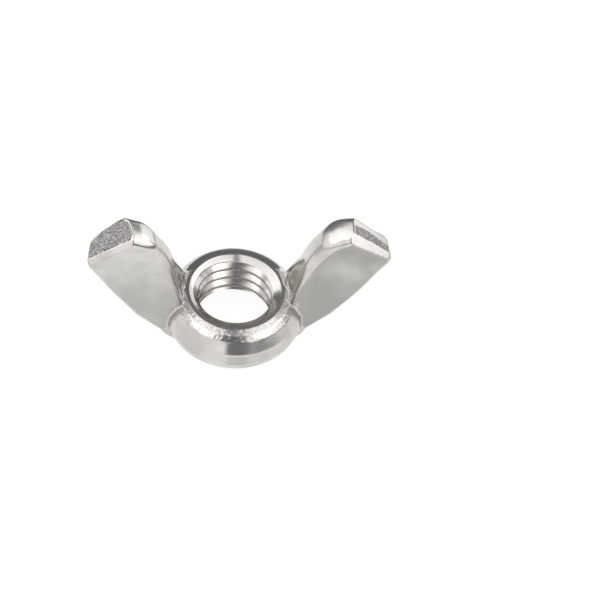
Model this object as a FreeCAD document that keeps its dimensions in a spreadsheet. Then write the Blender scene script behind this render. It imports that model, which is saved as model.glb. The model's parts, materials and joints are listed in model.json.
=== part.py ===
"""Wing nut, cold forged in one piece and tapped M10 x 1.5.

One solid: a barrel-shaped hub with a bevelled rim, two straight leaning wings and a
through thread with a countersink at each end.
Millimetres. The bearing face lies on z = 0, centred on the thread axis, +Z up.
"""
import FreeCAD, Part
import os
import Sketcher
from FreeCAD import Vector

# ---------------------------------------------------------------- driving dimensions
DIMENSIONS = [
    # thread
    ("thread_pitch", 1.5),
    ("bore_radius", 4.325),
    ("groove_root_radius", 5.0),
    ("groove_root_bottom", 1.095),
    ("groove_root_top", 0.905),
    ("groove_mouth_radius", 4.2),
    ("groove_mouth_bottom", 1.557),
    ("groove_mouth_top", 0.443),
    ("thread_travel", 8.6),
    # hub
    ("hub_height", 6.1),
    ("rim_radius", 5.85),
    ("bevel_radius", 7.05),
    ("bevel_height", 5.25),
    ("barrel_x", 7.75),
    ("barrel_height", 4.1),
    ("belly_radius", 8.05),
    ("belly_height", 2.6),
    ("seat_bulge_x", 7.25),
    ("seat_bulge_height", 1.1),
    ("seat_radius", 5.9),
    ("top_sink_radius", 5.4),
    ("top_sink_start", 5.48),
    ("seat_sink_radius", 5.2),
    ("seat_sink_depth", 0.8),
    ("bore_overrun", 0.5),
    ("bore_top", 7.0),
    # wings
    ("wing_thickness", 4.0),
    ("wing_root_x", 5.6),
    ("wing_root_height", 4.1),
    ("wing_waist_x", 7.7),
    ("wing_waist_height", 13.1),
    ("wing_shoulder_x", 10.05),
    ("wing_shoulder_height", 16.7),
    ("wing_nose_x", 12.9),
    ("wing_nose_height", 17.57),
    ("wing_corner_x", 18.5),
    ("wing_corner_height", 13.58),
    ("wing_knee_x", 11.85),
    ("wing_knee_height", 3.6),
    ("wing_foot_x", 7.3),
    ("wing_foot_height", 0.12),
    ("wing_core_x", 5.3),
    ("wing_core_height", 1.9),
    ("tip_cut_inner_x", 16.75),
    ("tip_cut_inner_height", 14.827),
    ("tip_cut_middle_x", 17.6),
    ("tip_cut_middle_height", 13.4),
    ("tip_cut_outer_x", 17.33),
    ("tip_cut_outer_height", 11.9),
    ("tip_cut_clear_x", 22.0),
    ("waist_bend", 8.0),
    ("shoulder_bend", 4.0),
    ("nose_bend", 0.6),
    ("knee_bend", 12.0),
    # rounded edges
    ("underside_round", 1.7),
    ("top_round", 0.4),
]

# ---------------------------------------------------------------- document and sheet
doc = FreeCAD.newDocument("wing_nut")
sheet = doc.addObject("Spreadsheet::Sheet", "Dimensions")
for row, (alias, value) in enumerate(DIMENSIONS, start=1):
    sheet.set(f"A{row}", alias)
    sheet.set(f"B{row}", str(value))
    sheet.setAlias(f"B{row}", alias)
doc.recompute()
size = {alias: float(sheet.get(alias)) for alias, _ in DIMENSIONS}

body = doc.addObject("PartDesign::Body", "Wing_nut")
body.Label = "wing_nut"
origin = {feature.Role: feature for feature in body.Origin.OriginFeatures}


# ---------------------------------------------------------------- sketch helpers
def number(formula):
    """The value in millimetres of a signed dimension name such as "-hub_height"."""
    if formula == "0":
        return 0.0
    value = float(sheet.get(formula.lstrip("-")))
    return -value if formula.startswith("-") else value


def new_sketch(name, plane="XZ_Plane"):
    """An empty sketch on an upright origin plane; its second direction is height."""
    sketch = body.newObject("Sketcher::SketchObject", name)
    sketch.AttachmentSupport = [(origin[plane], "")]
    sketch.MapMode = "FlatFace"
    return sketch


def pin(sketch, geometry, point, place):
    """Tie one sketch point to a place given as two signed dimension names."""
    for kind, formula in zip(("DistanceX", "DistanceY"), place):
        rule = Sketcher.Constraint(kind, -1, 1, geometry, point, number(formula))
        index = sketch.addConstraint(rule)
        if formula != "0":
            sign = "-" if formula.startswith("-") else ""
            name = formula.lstrip("-")
            sketch.setExpression(f"Constraints[{index}]", f"{sign}Dimensions.{name}")


def outline(sketch, corners, bulges=None):
    """Draw a closed outline; side i is an arc when bulges[i] gives a place it passes."""
    bulges = bulges or {}
    places = [Vector(number(across), number(up), 0) for across, up in corners]
    first = sketch.GeometryCount
    joints = []
    for side, start in enumerate(places):
        end = places[(side + 1) % len(places)]
        if side in bulges:
            middle = Vector(*[number(part) for part in bulges[side]], 0)
            index = sketch.addGeometry(Part.Arc(start, middle, end), False)
        else:
            index = sketch.addGeometry(Part.LineSegment(start, end), False)
        starts_here = sketch.getPoint(index, 1).distanceToPoint(start) < 1e-6
        joints.append((index, 1 if starts_here else 2, 2 if starts_here else 1))
    for side, (index, start_point, end_point) in enumerate(joints):
        following, following_start, _ = joints[(side + 1) % len(joints)]
        rule = Sketcher.Constraint("Coincident", index, end_point, following, following_start)
        sketch.addConstraint(rule)
        pin(sketch, index, start_point, corners[side])
    for side, place in bulges.items():
        spot = Vector(*[number(part) for part in place], 0)
        marker = sketch.addGeometry(Part.Point(spot), True)
        sketch.addConstraint(Sketcher.Constraint("PointOnObject", marker, 1, first + side))
        pin(sketch, marker, 1, place)


def mirrored(places):
    """The same places on the other side of the axis."""
    return [("0" if x == "0" else "-" + x, up) for x, up in places]


def round_edges(name, chosen, radius):
    """Round the edges of the current solid for which chosen(edge) is true."""
    doc.recompute()
    base = body.Tip
    edges = [
        f"Edge{place}"
        for place, edge in enumerate(base.Shape.Edges, start=1)
        if chosen(edge)
    ]
    feature = body.newObject("PartDesign::Fillet", name)
    feature.Base = (base, edges)
    feature.setExpression("Radius", f"Dimensions.{radius}")
    doc.recompute()
    return feature


# ---------------------------------------------------------------- wings
right = [
    ("wing_root_x", "wing_root_height"),
    ("wing_waist_x", "wing_waist_height"),
    ("wing_shoulder_x", "wing_shoulder_height"),
    ("wing_nose_x", "wing_nose_height"),
    ("wing_corner_x", "wing_corner_height"),
    ("wing_knee_x", "wing_knee_height"),
    ("wing_foot_x", "wing_foot_height"),
    ("wing_core_x", "wing_core_height"),
]
wing_sketch = new_sketch("Wing_outline")
outline(wing_sketch, right + mirrored(right)[::-1])
wings = body.newObject("PartDesign::Pad", "Wings")
wings.Profile = wing_sketch
wings.Midplane = True
wings.setExpression("Length", "Dimensions.wing_thickness")


def middle(edge):
    """The point half way along an edge."""
    return edge.valueAt((edge.FirstParameter + edge.LastParameter) / 2)


def crosses_at(corner):
    """A test for the edges that cross the wing thickness at one outline corner."""
    x, height = (size[f"wing_{corner}_{part}"] for part in ("x", "height"))

    def chosen(edge):
        box = edge.BoundBox
        crossing = box.YLength > size["wing_thickness"] / 2
        spot = middle(edge)
        return crossing and abs(abs(spot.x) - x) < 1e-3 and abs(spot.z - height) < 1e-3

    return chosen


for corner in ("waist", "shoulder", "nose", "knee"):
    round_edges(corner.capitalize() + "_bend", crosses_at(corner), corner + "_bend")


def on_flat_side(edge):
    """True for an edge lying in one of the two flat sides of the wings."""
    box = edge.BoundBox
    half = size["wing_thickness"] / 2
    return box.YLength < 1e-3 and abs(abs(box.YMin) - half) < 1e-3


def is_underside(edge):
    """True for a side edge on the outer and lower outline of a wing."""
    spot = middle(edge)
    outer = size["wing_foot_height"] + 0.01 < spot.z < 0.8 * abs(spot.x)
    return on_flat_side(edge) and outer and abs(spot.x) > size["wing_waist_x"]


round_edges("Underside_round", is_underside, "underside_round")

# The outer corner of each tip is trimmed round.
tip_sketch = new_sketch("Tip_trim_outline")
tip_cut = [
    ("tip_cut_inner_x", "tip_cut_inner_height"),
    ("tip_cut_outer_x", "tip_cut_outer_height"),
    ("tip_cut_clear_x", "tip_cut_outer_height"),
    ("tip_cut_clear_x", "tip_cut_inner_height"),
]
outline(tip_sketch, tip_cut, {0: ("tip_cut_middle_x", "tip_cut_middle_height")})
tip_middle_left = ("-tip_cut_middle_x", "tip_cut_middle_height")
outline(tip_sketch, mirrored(tip_cut), {0: tip_middle_left})
tip_trim = body.newObject("PartDesign::Pocket", "Tip_trim")
tip_trim.Profile = tip_sketch
tip_trim.Type = "ThroughAll"
tip_trim.Midplane = True


def is_tip_side(edge):
    """True for a side edge along the straight end facet of a wing."""
    box = edge.BoundBox
    spot = middle(edge)
    falling = box.ZLength > 0.5 and box.XLength > box.ZLength
    outside = abs(spot.x) > size["wing_nose_x"]
    return on_flat_side(edge) and falling and outside and spot.z > size["wing_corner_height"]


round_edges("Top_round", is_tip_side, "top_round")

# ---------------------------------------------------------------- hub
hub_sketch = new_sketch("Hub_profile", "YZ_Plane")
hub_profile = [
    ("0", "0"),
    ("seat_radius", "0"),
    ("belly_radius", "belly_height"),
    ("bevel_radius", "bevel_height"),
    ("rim_radius", "hub_height"),
    ("0", "hub_height"),
]
hub_bulges = {
    1: ("seat_bulge_x", "seat_bulge_height"),
    2: ("barrel_x", "barrel_height"),
}
outline(hub_sketch, hub_profile, hub_bulges)
hub = body.newObject("PartDesign::Revolution", "Hub")
hub.Profile = hub_sketch
hub.ReferenceAxis = (origin["Z_Axis"], [""])
hub.Angle = 360
doc.recompute()

# ---------------------------------------------------------------- bore and thread
# The bore is turned in four quarter turns so that its wall is four separate faces.
bore_sketch = new_sketch("Bore_profile", "YZ_Plane")
bore_profile = [
    ("0", "-bore_overrun"),
    ("seat_sink_radius", "-bore_overrun"),
    ("seat_sink_radius", "0"),
    ("bore_radius", "seat_sink_depth"),
    ("bore_radius", "top_sink_start"),
    ("top_sink_radius", "hub_height"),
    ("top_sink_radius", "bore_top"),
    ("0", "bore_top"),
]
outline(bore_sketch, bore_profile)
bore = body.newObject("PartDesign::Groove", "Bore_quarter")
bore.Profile = bore_sketch
bore.ReferenceAxis = (origin["Z_Axis"], [""])
bore.Angle = 90
bore.Refine = False
doc.recompute()
quarter_volume = hub.Shape.Volume - bore.Shape.Volume

bore_turns = body.newObject("PartDesign::PolarPattern", "Bore_turns")
bore_turns.Originals = [bore]
bore_turns.Axis = (origin["Z_Axis"], [""])
bore_turns.Angle = 360
bore_turns.Occurrences = 4
bore_turns.Refine = False
body.Tip = bore_turns
doc.recompute()
bore_volume = hub.Shape.Volume - bore_turns.Shape.Volume

groove_sketch = new_sketch("Thread_groove_outline")
groove_profile = [
    ("groove_mouth_radius", "-groove_mouth_bottom"),
    ("groove_root_radius", "-groove_root_bottom"),
    ("groove_root_radius", "-groove_root_top"),
    ("groove_mouth_radius", "-groove_mouth_top"),
]
outline(groove_sketch, groove_profile)
thread = body.newObject("PartDesign::SubtractiveHelix", "Thread")
thread.Profile = groove_sketch
thread.ReferenceAxis = (origin["Z_Axis"], [""])
thread.Mode = 0
thread.setExpression("Pitch", "Dimensions.thread_pitch")
thread.setExpression("Height", "Dimensions.thread_travel")
thread.Angle = 0
thread.LeftHanded = False
thread.Refine = False
body.Tip = thread
doc.recompute()
thread_volume = bore_turns.Shape.Volume - thread.Shape.Volume

# ---------------------------------------------------------------- checks and export
for step in doc.Objects:
    if "Invalid" in step.State or "Error" in step.State:
        raise RuntimeError(f"{step.Name} did not rebuild")
if not body.Shape.isValid() or len(body.Shape.Solids) != 1:
    raise RuntimeError("the nut is not one valid solid")
if abs(bore_volume / quarter_volume - 4) > 0.01:
    raise RuntimeError("the four quarter turns of the bore do not match")
if not 20 < thread_volume < 80:
    raise RuntimeError("the thread groove did not cut")

os.makedirs("parts", exist_ok=True)
body.Shape.exportStep("parts/wing_nut.step")
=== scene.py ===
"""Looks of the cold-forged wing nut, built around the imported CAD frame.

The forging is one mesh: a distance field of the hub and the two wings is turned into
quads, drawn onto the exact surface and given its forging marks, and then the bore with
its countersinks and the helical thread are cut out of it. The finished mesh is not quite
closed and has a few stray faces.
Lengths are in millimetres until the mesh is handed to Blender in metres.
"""
import json
import math

import bpy
import numpy as np
from mathutils import Matrix, Vector


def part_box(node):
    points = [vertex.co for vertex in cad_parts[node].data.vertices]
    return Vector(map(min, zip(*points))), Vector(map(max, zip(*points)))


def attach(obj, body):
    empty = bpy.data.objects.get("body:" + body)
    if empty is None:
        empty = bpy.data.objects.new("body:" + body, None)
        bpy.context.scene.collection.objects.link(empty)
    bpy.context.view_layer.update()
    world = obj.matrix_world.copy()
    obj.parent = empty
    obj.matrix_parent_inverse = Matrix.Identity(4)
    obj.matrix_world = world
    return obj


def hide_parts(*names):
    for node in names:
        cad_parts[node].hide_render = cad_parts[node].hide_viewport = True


MM = 0.001
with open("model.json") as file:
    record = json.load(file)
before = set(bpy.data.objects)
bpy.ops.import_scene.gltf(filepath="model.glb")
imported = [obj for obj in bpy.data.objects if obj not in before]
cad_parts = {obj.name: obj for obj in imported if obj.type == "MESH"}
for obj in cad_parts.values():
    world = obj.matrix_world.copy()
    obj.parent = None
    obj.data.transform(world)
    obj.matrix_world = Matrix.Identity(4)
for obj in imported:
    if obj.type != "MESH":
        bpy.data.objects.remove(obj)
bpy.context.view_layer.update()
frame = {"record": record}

# ---------------------------------------------------------------- sizes, in millimetres
_, node_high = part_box("wing_nut")
HALF_SPAN = node_high.x / MM
TOP = node_high.z / MM
HUB_RADIUS = 8.05
HUB_HEIGHT = 6.1
RIM_RADIUS = 5.85
THREAD = next(m for m in frame["record"]["mounts"] if m["name"] == "thread")
BORE_RADIUS = THREAD["dims"]["r_mm"]
GROOVE_RADIUS = 4.87
PITCH = 1.5
HALF_THICKNESS = 2.0
CELL = 0.1


# ---------------------------------------------------------------- flat outlines
def bent(corners):
    """A closed outline from (x, z, bend radius) corners, each bend drawn as an arc."""
    points = []
    count = len(corners)
    for i, (x, z, radius) in enumerate(corners):
        here = np.array([x, z])
        if radius == 0:
            points.append(here)
            continue
        back = np.array(corners[i - 1][:2]) - here
        ahead = np.array(corners[(i + 1) % count][:2]) - here
        back /= np.linalg.norm(back)
        ahead /= np.linalg.norm(ahead)
        half = math.acos(np.clip(back @ ahead, -1, 1)) / 2
        bisector = (back + ahead) / np.linalg.norm(back + ahead)
        centre = here + bisector * radius / math.sin(half)
        first = here + back * radius / math.tan(half) - centre
        last = here + ahead * radius / math.tan(half) - centre
        turn = math.acos(np.clip(first @ last / radius**2, -1, 1))
        for t in np.linspace(0, 1, 13):
            a, b = math.sin((1 - t) * turn), math.sin(t * turn)
            points.append(centre + (first * a + last * b) / math.sin(turn))
    return np.array(points)


class Field2D:
    """The signed distance to a closed outline, kept on a fine grid and read between."""

    def __init__(self, outline, low, high, step=0.05):
        self.low, self.step = np.array(low, float), step
        xs = np.arange(low[0], high[0], step)
        zs = np.arange(low[1], high[1], step)
        gx, gz = np.meshgrid(xs, zs, indexing="ij")
        best = np.full(gx.shape, 1e9)
        inside = np.zeros(gx.shape, bool)
        for a, b in zip(outline, np.roll(outline, -1, axis=0)):
            ex, ez = b - a
            px, pz = gx - a[0], gz - a[1]
            t = np.clip((px * ex + pz * ez) / (ex * ex + ez * ez), 0, 1)
            best = np.minimum(best, (px - ex * t) ** 2 + (pz - ez * t) ** 2)
            if ez != 0:
                crosses = (a[1] > gz) != (b[1] > gz)
                inside ^= crosses & (px < ex * pz / ez)
        self.values = np.where(inside, -1, 1) * np.sqrt(best)
        self.values = self.values.astype(np.float32)

    def __call__(self, x, z):
        rows, columns = self.values.shape
        u = np.clip((x - self.low[0]) / self.step, 0, rows - 1.001)
        v = np.clip((z - self.low[1]) / self.step, 0, columns - 1.001)
        i, j = u.astype(np.int32), v.astype(np.int32)
        u, v = u - i, v - j
        grid = self.values
        near = grid[i, j] * (1 - u) + grid[i + 1, j] * u
        far = grid[i, j + 1] * (1 - u) + grid[i + 1, j + 1] * u
        return near * (1 - v) + far * v


def ramp(low, high, value):
    """0 below low, 1 above high and smooth between."""
    t = np.clip((value - low) / (high - low), 0, 1)
    return t * t * (3 - 2 * t)


def soft_min(a, b, blend):
    """The union of two fields, filled in over the blend distance."""
    h = np.maximum(blend - np.abs(a - b), 0) / blend
    return np.minimum(a, b) - h * h * blend / 4


# The wing's outline in its own plane, seen from the front of the right-hand wing.
NOSE = (12.85, 17.53)
TIP_CORNER = (18.45, 13.54)
KNEE = (11.85, 3.6)
FOOT = (7.65, 0.0)
wing_outline = bent(
    [
        (5.6, 4.1, 0),
        (7.7, 13.1, 8.0),
        (10.05, 16.68, 4.0),
        (13.39, 17.65, 1.3),
        (18.70, 13.91, 0),
        (*KNEE, 12.0),
        (*FOOT, 0),
        (5.3, 1.9, 0),
    ]
)
wing_field = Field2D(wing_outline, (1.0, -2.5), (21.0, 20.5))

# The hub's profile: distance from the axis, height.
hub_profile = bent(
    [
        (0.0, 0.0, 0),
        (6.1, 0.0, 0.25),
        (7.7, 1.0, 1.6),
        (HUB_RADIUS, 2.4, 1.2),
        (7.93, 3.75, 1.0),
        (7.1, 5.24, 0.4),
        (6.5, 5.83, 0.6),
        (5.87, HUB_HEIGHT, 0.15),
        (0.0, HUB_HEIGHT, 0),
    ]
)
hub_field = Field2D(hub_profile, (-0.5, -2.5), (12.0, 9.5))

# Flash left where the dies met: centre and radius of each small lump.
LUMPS = [
    (6.2, 1.7, 6.1, 0.5),
    (5.75, 2.4, 5.7, 0.25),
    (-6.6, 1.6, 5.1, 0.3),
    (-6.1, 1.3, 5.8, 0.2),
]
LUMP_BLEND = 1.0

# In each pair the first value is the left wing's and the second the right wing's.
LOWER_INSET = (0.34, 0.54)
UPPER_INSET = (0.08, 0.22)
END_INSET = (0.22, 0.0)
CREST_OVERHANG = (0.5, 0.12)
CREST_FRONT_ROUND = (0.9, 0.8)
INNER_BACK_ROUND = (1.7, 1.1)
END_BLEND = (0.1, 0.0)

# How much the inner edge counts among the edges, wherever a point is.
INNER_SHARE = 0.12
LEFT_CORNER, RIGHT_CORNER = 3.1, 1.7
LEFT_CHAMFER, RIGHT_CHAMFER = 0.48, 0.9
# How far the wing's root flares out behind, in its outline and in its thickness.
FLARE_OUT, FLARE_THICKNESS = 0.28, 0.25
# How far the left end's shear plane leans to the front, per millimetre of depth, and the
# depth at which it would be where a straight cut is.
SKEW, SKEW_DEPTH = 0.19, 1.3
SECOND_CUT_LEAN = math.radians(25)
# The wings stay this far above the bearing face.
SEAT_GAP = 0.14


def line_distance(x, z, start, end):
    """The signed distance from the line start-end, positive on its left."""
    dx, dz = end[0] - start[0], end[1] - start[1]
    length = math.hypot(dx, dz)
    return ((x - start[0]) * -dz + (z - start[1]) * dx) / length


def wing_places(x, z):
    """How far inside the lower edge and the sheared end a point is, and how far along the end."""
    ax = np.abs(x)
    left = x < 0
    upper_line = -line_distance(ax, z, TIP_CORNER, KNEE)
    lower_line = -line_distance(ax, z, KNEE, FOOT)
    below = np.minimum(upper_line, lower_line)
    below = below - np.where(left, *LOWER_INSET) - np.where(left, *UPPER_INSET) * ramp(8.0, 12.0, z)
    tip = -line_distance(ax, z, NOSE, TIP_CORNER) - np.where(left, *END_INSET)
    end_x, end_z = TIP_CORNER[0] - NOSE[0], TIP_CORNER[1] - NOSE[1]
    along = ((ax - NOSE[0]) * end_x + (z - NOSE[1]) * end_z) / (end_x**2 + end_z**2)
    return below, tip, along


def forging(x, y, z):
    """The distance field of the forging, without its bore."""
    ax = np.abs(x)
    left = x < 0
    below, tip, along = wing_places(x, z)
    crest = tip + np.where(left, *CREST_OVERHANG)
    flat = np.maximum(wing_field(ax, z), np.maximum(-crest, -below))
    back = ramp(-1.0, 1.0, y)
    # How round each edge is: the lower one, the crest and the inner one.
    low_front = 0.5 + 0.2 * (1 - ramp(4.0, 8.0, z))
    low_back = 1.05 + 0.85 * ramp(0.2, 3.0, tip)
    low_round = (low_front + (low_back - low_front) * back) * (0.35 + 0.65 * ramp(0.8, 5.1, z))
    crest_front = np.where(left, *CREST_FRONT_ROUND)
    left_crest_back = 1.2 + 1.4 * ramp(0.1, 0.7, along)
    right_crest_back = 1.5 + 0.9 * ramp(0.1, 0.6, along)
    crest_back = np.where(left, left_crest_back, right_crest_back)
    crest_round = crest_front + (crest_back - crest_front) * back
    inner_front = 0.55 + 0.7 * ramp(8.1, 13.6, z)
    inner_back = 0.45 + np.where(left, *INNER_BACK_ROUND) * ramp(7.1, 11.6, z)
    inner_back = inner_back - 0.9 * ramp(15.4, 17.0, z)
    inner_round = inner_front + (inner_back - inner_front) * back
    near_low = np.exp(-np.maximum(below, 0) / 1.0)
    near_crest = 0.7 * np.exp(-np.maximum(crest, 0) / 0.5)
    near_inner = INNER_SHARE + np.zeros_like(x)
    total = near_low + near_crest + near_inner
    edge = (near_low * low_round + near_crest * crest_round + near_inner * inner_round) / total
    # The inner edge is crowned: it draws in towards the front and the back.
    flat = flat + 0.12 * near_inner / total * ramp(6.6, 9.6, z) * (y / 1.7) ** 2
    # The outer corner, rounder at the back than at the front.
    corner = np.where(left, LEFT_CORNER + 0.35 * y, RIGHT_CORNER + 0.2 * y)
    a, b = np.maximum(corner - crest, 0), np.maximum(corner - below, 0)
    flat = np.where((a > 0) & (b > 0), np.maximum(flat, np.hypot(a, b) - corner), flat)
    # The root flares out behind, where the wing meets the rim.
    flare = back * (1 - ramp(8.2, 12.0, z))
    flat = flat - FLARE_OUT * flare * ramp(5.2, 7.6, z) * (1 - ramp(8.0, 9.5, ax))
    across = np.abs(y) - HALF_THICKNESS - FLARE_THICKNESS * flare
    q1, q2 = flat + edge, across + edge
    wing = np.minimum(np.maximum(q1, q2), 0) + np.hypot(np.maximum(q1, 0), np.maximum(q2, 0)) - edge
    # The end is sheared off flat, and its front edge broken by a narrow chamfer.
    # The left end was sheared a little askew, lower at the front.
    tip = tip + np.where(left, SKEW * (y - SKEW_DEPTH), 0.0)
    end_blend = 0.07 + np.where(left, *END_BLEND) * (1 - ramp(-0.1, 0.25, along))
    wing = -soft_min(-wing, tip, end_blend)
    chamfer = np.where(left, LEFT_CHAMFER, RIGHT_CHAMFER - 0.4 * ramp(0.0, 1.0, along))
    wing = -soft_min(-wing, (tip + y + HALF_THICKNESS - chamfer) / math.sqrt(2), 0.06)
    # A second, lens-shaped cut behind the left end leans back from the first.
    rear = 1.4 + 2.0 * np.abs(along - 0.12)
    second = tip * math.cos(SECOND_CUT_LEAN) - (y - rear) * math.sin(SECOND_CUT_LEAN)
    wing = -soft_min(-wing, np.where(left, second, 1.0), 0.05)
    hub = hub_field(np.hypot(x, y), z)
    # Only the hub's ring touches down.
    wing = np.maximum(wing, SEAT_GAP - z)
    # Wing and hub run into each other most at the foot and behind.
    blend = 0.16 + 2.1 * (1 - ramp(0.2, 2.4, z)) * ramp(-0.3, 0.9, z)
    blend = blend + 1.8 * ramp(0.3, 1.8, y) * ramp(3.0, 5.0, z)
    solid = soft_min(wing, hub, blend)
    for cx, cy, cz, radius in LUMPS:
        lump = np.sqrt((x - cx) ** 2 + (y - cy) ** 2 + (z - cz) ** 2) - radius
        solid = soft_min(solid, lump, LUMP_BLEND)
    # The rim is faced off flat, so nothing of the wings stands on it.
    solid = np.maximum(solid, np.minimum(RIM_RADIUS - np.hypot(x, y), z - HUB_HEIGHT))
    return np.maximum(solid, -z)


# ---------------------------------------------------------------- field to quads
def surface(field, low, high, cell):
    """Quads around the zero level of a field, one vertex in each crossed cell."""
    axes = [np.arange(a, b, cell, dtype=np.float32) for a, b in zip(low, high)]
    shape = [len(a) for a in axes]
    values = np.empty(shape, np.float32)
    slab = 40
    for start in range(0, shape[0], slab):
        block = np.meshgrid(axes[0][start : start + slab], axes[1], axes[2], indexing="ij")
        values[start : start + slab] = field(*block)
    inside = values < 0
    count = np.zeros([n - 1 for n in shape], np.uint8)
    for dx in (0, 1):
        for dy in (0, 1):
            for dz in (0, 1):
                count += inside[dx : shape[0] - 1 + dx, dy : shape[1] - 1 + dy, dz : shape[2] - 1 + dz]
    crossed = (count > 0) & (count < 8)
    cells = np.argwhere(crossed)
    number = np.full(crossed.shape, -1, np.int32)
    number[crossed] = np.arange(len(cells))
    points = np.stack([axes[i][cells[:, i]] + cell / 2 for i in range(3)], axis=1)
    quads = []
    for axis in range(3):
        first = [slice(1, -1)] * 3
        second = [slice(1, -1)] * 3
        first[axis], second[axis] = slice(0, -1), slice(1, None)
        a, b = inside[tuple(first)], inside[tuple(second)]
        u, v = [(1, 2), (2, 0), (0, 1)][axis]
        for low_side, flip in ((a & ~b, False), (~a & b, True)):
            edges = np.argwhere(low_side)
            edges += [0 if i == axis else 1 for i in range(3)]
            ring = []
            for du, dv in ((-1, -1), (0, -1), (0, 0), (-1, 0)):
                place = edges.copy()
                place[:, u] += du
                place[:, v] += dv
                ring.append(number[place[:, 0], place[:, 1], place[:, 2]])
            quad = np.stack(ring, axis=1)
            quads.append(quad[:, ::-1] if flip else quad)
    return points.astype(np.float64), np.concatenate(quads)


def gradient(field, points, step=0.02):
    """The direction in which a field grows at each point."""
    out = np.empty_like(points)
    for axis in range(3):
        shift = np.zeros(3)
        shift[axis] = step
        out[:, axis] = field(*(points + shift).T) - field(*(points - shift).T)
    return out / (2 * step)


# The longest move in one round, and the least squared slope that a move is worked out with.
LONGEST_MOVE, LEAST_SQUARED_SLOPE = 0.15, 0.15


def settle(field, points, rounds=4):
    """Draws points onto the zero level of a field."""
    for _ in range(rounds):
        slope = gradient(field, points)
        steep = np.maximum((slope**2).sum(1), LEAST_SQUARED_SLOPE)
        move = field(*points.T) / steep
        points = points - slope * np.clip(move, -LONGEST_MOVE, LONGEST_MOVE)[:, None]
    return points


# ---------------------------------------------------------------- forging marks
class Lattice:
    """Smooth random values between -1 and 1 over space, from a seeded block of numbers."""

    # A whole number of cells that keeps every place on the nut above zero.
    OFFSET = 1000

    def __init__(self, seed, count=48):
        self.count = count
        self.block = np.random.default_rng(seed).uniform(-1, 1, (count, count, count))

    def __call__(self, points, cell):
        place = np.asarray(points) / cell + self.OFFSET
        whole = np.floor(place).astype(np.int64)
        part = place - whole
        part = part * part * (3 - 2 * part)
        total = np.zeros(len(place))
        for dx in (0, 1):
            for dy in (0, 1):
                for dz in (0, 1):
                    corner = (whole + (dx, dy, dz)) % self.count
                    weight = np.prod(np.where(np.array((dx, dy, dz)) == 1, part, 1 - part), axis=1)
                    total += weight * self.block[corner[:, 0], corner[:, 1], corner[:, 2]]
        return total


END_NORMAL = np.array((NOSE[1] - TIP_CORNER[1], TIP_CORNER[0] - NOSE[0]))
END_NORMAL = END_NORMAL / np.linalg.norm(END_NORMAL)


def regions(points, normals):
    """How much each point belongs to the flat sides, sheared ends, bevel and rim."""
    x, y, z = points.T
    left = x < 0
    radius = np.hypot(x, y)
    outside = ramp(7.2, 7.8, radius)
    side = ramp(0.975, 0.993, np.abs(normals[:, 1]))
    side = side * np.where(z > HUB_HEIGHT + 0.1, 1, outside) * (radius > 5.6)
    _, tip, along = wing_places(x, z)
    skew = np.where(left, SKEW, 0.0)
    facing = np.abs(normals[:, 0]) * END_NORMAL[0] + normals[:, 2] * END_NORMAL[1]
    facing = (facing - skew * normals[:, 1]) / np.hypot(1, skew)
    tip = tip + skew * (y - SKEW_DEPTH)
    left_edge = 1.35 - 1.5 * ramp(0.3, 1.0, along)
    right_edge = 0.2 - 0.9 * ramp(0.2, 0.9, along)
    edge = np.where(left, left_edge, right_edge)
    sheared = ramp(0.95, 0.985, facing) * (tip < 0.3) * (z > 12) * (1 - ramp(edge, edge + 0.25, y))
    inner = np.where(left, 0.045 * (y + 0.3) ** 2 - 0.08, 0.0)
    sheared *= ramp(inner, inner + 0.05, along) * (1 - ramp(0.8, 0.92, along))
    bevel = ramp(5.8, 5.95, radius) * (1 - ramp(7.0, 7.3, radius))
    bevel = bevel * ramp(4.9, 5.3, z) * (1 - ramp(6.05, 6.2, z))
    rim = (1 - ramp(RIM_RADIUS, 5.95, radius)) * ramp(6.0, 6.06, z) * (z < 6.2)
    return side, sheared, bevel, rim


broad, middling, fine = Lattice(11), Lattice(12), Lattice(13)


# The bevel is hammered most at this bearing, in degrees right of the front, and this far around.
HAMMERED_AT, HAMMERED_WIDTH = -12, 45


def marks(points, normals):
    """How far each point of the forging is pushed out by tumbling and shearing marks.

    Each mark is its height times a lattice that is read with the mark's cell size.
    """
    x, y, z = points.T
    side, sheared, bevel, _ = regions(points, normals)
    polished = 1 - np.maximum(side, sheared)
    push = 0.020 * polished * broad(points, 3.2) + 0.008 * polished * middling(points, 1.1)
    push += 0.010 * side * broad(points, 4.0) + 0.0035 * side * middling(points, 0.9)
    bearing = np.degrees(np.arctan2(x, -y))
    front = np.exp(-(((bearing - HAMMERED_AT) / HAMMERED_WIDTH) ** 2))
    push += bevel * (0.3 + 0.7 * front) * (0.016 * fine(points, 0.28) + 0.010 * middling(points, 0.5))
    streaks = points * np.array((0.35, 1.0, 0.35))
    push += sheared * (0.02 * fine(streaks, 0.25) + 0.012 * middling(points, 0.6))
    return push


# Room around the forging, and the extra room past its ends.
MARGIN, END_MARGIN = 0.6, 1
points, quads = surface(
    forging,
    (-HALF_SPAN - MARGIN - END_MARGIN, -HUB_RADIUS - MARGIN, -MARGIN),
    (HALF_SPAN + MARGIN + END_MARGIN, HUB_RADIUS + MARGIN, TOP + MARGIN),
    CELL,
)
points = settle(forging, points)
normals = gradient(forging, points)
normals /= np.linalg.norm(normals, axis=1)[:, None]
# The bearing face stays flat: the marks grow from nothing just above it.
points = points + normals * (marks(points, normals) * ramp(0.02, 0.3, points[:, 2]))[:, None]


# ---------------------------------------------------------------- meshes
def new_piece(name, points_mm, faces):
    """A mesh object from points in millimetres."""
    mesh = bpy.data.meshes.new(name)
    mesh.from_pydata((np.asarray(points_mm) * MM).tolist(), [], [list(f) for f in faces])
    mesh.update()
    piece = bpy.data.objects.new(name, mesh)
    bpy.context.scene.collection.objects.link(piece)
    return piece


nut = new_piece("wing_nut_forging", points, quads)


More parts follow.
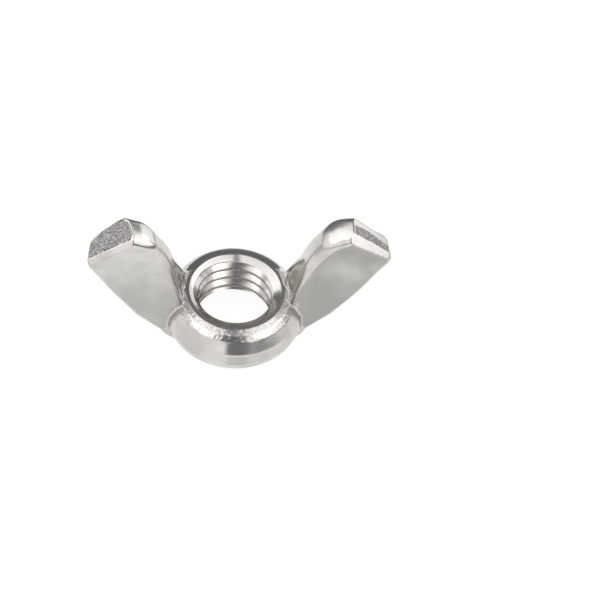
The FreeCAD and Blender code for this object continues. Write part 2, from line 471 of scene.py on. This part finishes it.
def turned(name, profile, steps):
    """A closed solid turned from (radius, height) points that start and end on the axis."""
    angles = np.linspace(0, 2 * math.pi, steps, endpoint=False)
    body_points = [(0, 0, profile[0][1])]
    for radius, height in profile[1:-1]:
        body_points += [(radius * math.cos(t), radius * math.sin(t), height) for t in angles]
    body_points.append((0, 0, profile[-1][1]))
    rings = len(profile) - 2
    faces = []
    for i in range(steps):
        j = (i + 1) % steps
        faces.append((0, 1 + j, 1 + i))
        for ring in range(rings - 1):
            a, b = 1 + ring * steps, 1 + (ring + 1) * steps
            faces.append((a + i, a + j, b + j, b + i))
        last = 1 + (rings - 1) * steps
        faces.append((last + i, last + j, len(body_points) - 1))
    return new_piece(name, body_points, faces)


def helical(name, section, start, end, steps):
    """A closed solid swept by a (radius, height) section along the thread's helix."""
    turns = (end - start) / PITCH
    count = int(turns * steps) + 1
    body_points, faces = [], []
    for k in range(count):
        turn = turns * k / (count - 1)
        angle, rise = 2 * math.pi * turn, start + turn * PITCH
        for radius, height in section:
            body_points.append((radius * math.cos(angle), radius * math.sin(angle), rise + height))
    size = len(section)
    for k in range(count - 1):
        for i in range(size):
            j = (i + 1) % size
            a, b = k * size, (k + 1) * size
            faces.append((b + i, b + j, a + j, a + i))
    faces.append(tuple(range(size)))
    faces.append(tuple((count - 1) * size + i for i in range(size))[::-1])
    return new_piece(name, body_points, faces)


def cut(piece, tool):
    """Takes the tool's solid out of the piece."""
    step = piece.modifiers.new("cut", "BOOLEAN")
    step.operation, step.solver, step.object = "DIFFERENCE", "MANIFOLD", tool
    bpy.context.view_layer.update()
    done = bpy.data.meshes.new_from_object(piece.evaluated_get(bpy.context.evaluated_depsgraph_get()))
    piece.modifiers.clear()
    piece.data = done
    bpy.data.objects.remove(tool)


bore_tool = turned(
    "bore_tool",
    [
        (0, -0.5),
        (5.75, -0.5),
        (5.3, 0.0),
        (BORE_RADIUS + 0.05, 0.77),
        (BORE_RADIUS, 0.85),
        (BORE_RADIUS, 5.42),
        (BORE_RADIUS + 0.06, 5.5),
        (5.32, 6.04),
        (5.39, HUB_HEIGHT),
        (5.6, 6.6),
        (0, 6.6),
    ],
    steps=256,
)
cut(nut, bore_tool)
thread_tool = helical(
    "thread_tool",
    [
        (4.2, -0.72),
        (BORE_RADIUS, -0.60),
        (4.80, -0.18),
        (GROOVE_RADIUS, -0.10),
        (GROOVE_RADIUS, 0.10),
        (4.80, 0.18),
        (BORE_RADIUS, 0.60),
        (4.2, 0.72),
    ],
    start=-1.0,
    end=7.6,
    steps=128,
)
cut(nut, thread_tool)
SHARP_ANGLE = math.radians(32)
nut.data.name = "wing_nut_forging"
nut.data.polygons.foreach_set("use_smooth", [True] * len(nut.data.polygons))
nut.data.set_sharp_from_angle(angle=SHARP_ANGLE)

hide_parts("wing_nut")
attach(nut, "root")

# ---------------------------------------------------------------- material
# Lengths are in metres from here on, as the material reads places on the finished mesh.
BRIGHT, BRIGHT_CLOUD = (0.61, 0.594, 0.568, 1), (0.49, 0.476, 0.454, 1)
SATIN, SATIN_GRAIN = (0.60, 0.588, 0.56, 1), (0.56, 0.548, 0.52, 1)
TORN, TORN_PIT = (0.37, 0.36, 0.348, 1), (0.13, 0.126, 0.122, 1)
# Painted shade for the right-hand wing's sides.
RIGHT_SIDE_SHADE = (0.365, 0.354, 0.338, 1)
STAIN = (0.30, 0.295, 0.285, 1)
# Painted shade towards the wings' roots.
ROOT_SHADE = (0.33, 0.322, 0.306, 1)
SPECK = (0.33, 0.32, 0.31, 1)
# Painted shade for the crests of the thread.
THREAD_CREST_SHADE = (0.16, 0.15, 0.14, 1)
TURNED = (0.40, 0.39, 0.38, 1)
# The centre of the spot where the right-hand wing's painted shade is lightest.
LEAST_SHADED_SPOT = (0.0123, -0.002, 0.0119)
BUMP_HEIGHT = 0.00002
MASKS = ("side", "sheared", "bevel", "rim")

vertex_count = len(nut.data.vertices)
flat_points = np.empty(vertex_count * 3)
nut.data.vertices.foreach_get("co", flat_points)
flat_normals = np.empty(vertex_count * 3)
nut.data.vertices.foreach_get("normal", flat_normals)
masks = regions(flat_points.reshape(-1, 3) / MM, flat_normals.reshape(-1, 3))
for name, values in zip(MASKS, masks):
    layer = nut.data.attributes.new(name, "FLOAT", "POINT")
    layer.data.foreach_set("value", np.asarray(values, np.float32))

steel = bpy.data.materials.new("forged_stainless_steel")
steel.use_nodes = True
tree = steel.node_tree
shader = tree.nodes["Principled BSDF"]
shader.inputs["Metallic"].default_value = 1.0


def node(kind, **inputs):
    """A new node with its inputs set, or joined when given a socket; i3 is input number 3."""
    made = tree.nodes.new(kind)
    for key, value in inputs.items():
        numbered = key[0] == "i" and key[1:].isdigit()
        socket = made.inputs[int(key[1:]) if numbered else key]
        if isinstance(value, bpy.types.NodeSocket):
            tree.links.new(value, socket)
        else:
            socket.default_value = value
    return made


def blend_number(amount, low, high):
    """low where amount is 0, high where it is 1."""
    made = node("ShaderNodeMix", i0=amount, i2=low, i3=high)
    return made.outputs[0]


def blend_colour(amount, low, high):
    """The colour low where amount is 0, high where it is 1."""
    made = node("ShaderNodeMix", i0=amount, i6=low, i7=high)
    made.data_type = "RGBA"
    return made.outputs[2]


def arithmetic(operation, first, second):
    """The sum, product or other result of two numbers."""
    made = node("ShaderNodeMath", i0=first, i1=second)
    made.operation = operation
    return made.outputs[0]


def mask(name):
    """One of the mesh's point attributes."""
    made = tree.nodes.new("ShaderNodeAttribute")
    made.attribute_name = name
    return made.outputs["Fac"]


where = tree.nodes.new("ShaderNodeTexCoord").outputs["Object"]


def noise(scale, detail, roughness=0.5):
    """Cloudy values between 0 and 1."""
    made = node("ShaderNodeTexNoise", Vector=where, Scale=scale, Detail=detail, Roughness=roughness)
    return made.outputs["Fac"]


def spread(value, low, high, out_low=0.0, out_high=1.0):
    """The value mapped from low..high to out_low..out_high."""
    made = node("ShaderNodeMapRange", i0=value, i1=low, i2=high, i3=out_low, i4=out_high)
    return made.outputs[0]


side, sheared, bevel, rim = [mask(name) for name in MASKS]
clouds = noise(260, 4)
grain = noise(2600, 3, 0.65)
crumbs = noise(4200, 4, 0.7)
# Cloudy values that make the edge of the right-hand wing's painted shade uneven.
shade_spot_wobble = noise(190, 2)

polished_rough = spread(clouds, 0.3, 0.7, 0.14, 0.24)
side_rough = spread(clouds, 0.3, 0.7, 0.27, 0.38)
rough = blend_number(side, polished_rough, side_rough)
rough = blend_number(rim, rough, 0.2)
rough = blend_number(sheared, rough, spread(grain, 0.3, 0.7, 0.3, 0.55))
tree.links.new(rough, shader.inputs["Roughness"])

bright = blend_colour(spread(clouds, 0.36, 0.64), BRIGHT, BRIGHT_CLOUD)
satin = blend_colour(spread(grain, 0.3, 0.7), SATIN, SATIN_GRAIN)
torn = blend_colour(spread(crumbs, 0.4, 0.6), TORN, TORN_PIT)
# Painted shade: the right-hand wing's sides are painted darker than the left one's, standing in for
# the dark surroundings they reflect, less so around an uneven spot.
split = node("ShaderNodeSeparateXYZ", Vector=where)
from_spot = node("ShaderNodeVectorMath", i0=where, i1=LEAST_SHADED_SPOT)
from_spot.operation = "DISTANCE"
unevenness = spread(shade_spot_wobble, 0.35, 0.65, -0.0014, 0.0014)
uneven = arithmetic("ADD", from_spot.outputs["Value"], unevenness)
on_right = spread(split.outputs["X"], 0.004, 0.009)
right_side_shade = arithmetic("MULTIPLY", on_right, spread(uneven, 0.0005, 0.0048, 0.45, 1.05))
satin = blend_colour(right_side_shade, satin, RIGHT_SIDE_SHADE)
patches = arithmetic("MULTIPLY", spread(noise(380, 5, 0.6), 0.40, 0.62), 0.32)
satin = blend_colour(patches, satin, STAIN)
# Painted shade: the sides are painted darker towards the bottom, where the wing meets the hub.
root_shade = spread(split.outputs["Z"], 0.0070, 0.0120, 0.5, 0.0)
satin = blend_colour(root_shade, satin, ROOT_SHADE)
colour = blend_colour(side, bright, satin)
colour = blend_colour(sheared, colour, torn)
# The hammered bevel is speckled.
speckled = arithmetic("MULTIPLY", bevel, spread(crumbs, 0.46, 0.58, 0.0, 0.65))
colour = blend_colour(speckled, colour, SPECK)
# Painted shade: the crests of the thread are painted as dark lines between bright flanks.
level = node("ShaderNodeVectorMath", i0=where, i1=(1.0, 1.0, 0.0))
level.operation = "MULTIPLY"
reach = node("ShaderNodeVectorMath", i0=level.outputs["Vector"])
reach.operation = "LENGTH"
crest_shade = spread(reach.outputs["Value"], 0.00434, 0.00444, 0.85, 0.0)
colour = blend_colour(crest_shade, colour, THREAD_CREST_SHADE)
# The turned rim is darker than the forged skin.
turned_rim = arithmetic("MULTIPLY", rim, spread(grain, 0.35, 0.65, 0.45, 0.75))
colour = blend_colour(turned_rim, colour, TURNED)
tree.links.new(colour, shader.inputs["Base Color"])

bump_strength = blend_number(sheared, spread(side, 0, 1, 0.05, 0.08), 0.9)
bump = node("ShaderNodeBump", Height=grain, Strength=bump_strength)
bump.inputs["Distance"].default_value = BUMP_HEIGHT
tree.links.new(bump.outputs["Normal"], shader.inputs["Normal"])

nut.data.materials.clear()
nut.data.materials.append(steel)
nut.data.polygons.foreach_set("material_index", [0] * len(nut.data.polygons))

# ---------------------------------------------------------------- studio
VIEW_AZIMUTH, VIEW_ELEVATION, VIEW_ROLL = -8.0, 50.8, 6.0
FLOOR_REACH, FLOOR_SIDES = 0.16, 96
floor_mesh = bpy.data.meshes.new("floor")
around = [2 * math.pi * i / FLOOR_SIDES for i in range(FLOOR_SIDES)]
floor_points = [(FLOOR_REACH * math.cos(t), FLOOR_REACH * math.sin(t), 0) for t in around]
floor_mesh.from_pydata(floor_points, [], [tuple(range(FLOOR_SIDES))])
floor = bpy.data.objects.new("floor", floor_mesh)
bpy.context.scene.collection.objects.link(floor)
paint = bpy.data.materials.new("floor_paint")
paint.use_nodes = True
paint_inputs = paint.node_tree.nodes["Principled BSDF"].inputs
paint_inputs["Base Color"].default_value = (0.2, 0.2, 0.2, 1)
paint_inputs["Emission Color"].default_value = (1.0, 1.0, 1.0, 1)
paint_inputs["Emission Strength"].default_value = 0.86
paint_inputs["Roughness"].default_value = 0.9
floor_mesh.materials.append(paint)

world = bpy.data.worlds.new("studio")
bpy.context.scene.world = world
world.use_nodes = True
world_inputs = world.node_tree.nodes["Background"].inputs
world_inputs["Color"].default_value = (0.98, 0.99, 1.0, 1)
world_inputs["Strength"].default_value = 0.21

target = Vector((0, 0, HUB_HEIGHT * MM))


def softbox(name, side, elevation, width, height, radiance, distance=0.5):
    """An area light aimed at the nut; side is its bearing to the right of the camera."""
    a, e = math.radians(VIEW_AZIMUTH + side), math.radians(elevation)
    way = Vector((math.sin(a) * math.cos(e), -math.cos(a) * math.cos(e), math.sin(e)))
    light = bpy.data.lights.new(name, "AREA")
    light.shape, light.size, light.size_y = "RECTANGLE", width, height
    light.energy = math.pi * width * height * radiance
    lamp = bpy.data.objects.new(name, light)
    lamp.location = target + way * distance
    lamp.rotation_euler = way.to_track_quat("Z", "Y").to_euler()
    bpy.context.scene.collection.objects.link(lamp)
    return lamp


softbox("top_left", -80, 56, 0.90, 0.52, 1.48)
softbox("top_right", 94, 56, 0.80, 0.52, 1.48)
softbox("left_wall", -64, 19, 1.60, 0.36, 1.02)
softbox("right_wall", 130, 19, 0.50, 0.34, 1.14)
softbox("right_strip", 62, 27, 0.66, 0.34, 1.36)

# ---------------------------------------------------------------- camera
FRAME_WIDTH = 0.06942
AIM_RIGHT, AIM_DOWN = 0.007463, 0.001149
LENS, SENSOR = 200.0, 36.0
azimuth, elevation = math.radians(VIEW_AZIMUTH), math.radians(VIEW_ELEVATION)
roll = math.radians(VIEW_ROLL)
away = Vector(
    (
        math.sin(azimuth) * math.cos(elevation),
        -math.cos(azimuth) * math.cos(elevation),
        math.sin(elevation),
    )
)
facing = away.to_track_quat("Z", "Y")
level_right, level_up = facing @ Vector((1, 0, 0)), facing @ Vector((0, 1, 0))
right = level_right * math.cos(roll) + level_up * math.sin(roll)
up = level_up * math.cos(roll) - level_right * math.sin(roll)
camera_data = bpy.data.cameras.new("camera")
camera_data.lens, camera_data.sensor_width = LENS, SENSOR
distance = FRAME_WIDTH * LENS / SENSOR
aim = target + right * AIM_RIGHT - up * AIM_DOWN
camera = bpy.data.objects.new("camera", camera_data)
camera.matrix_world = Matrix(
    (
        (right.x, up.x, away.x, 0),
        (right.y, up.y, away.y, 0),
        (right.z, up.z, away.z, 0),
        (0, 0, 0, 1),
    )
)
camera.location = aim + away * distance
camera_data.clip_start, camera_data.clip_end = 0.01, 10
bpy.context.scene.collection.objects.link(camera)
bpy.context.scene.camera = camera

bpy.context.scene.view_settings.view_transform = "Standard"
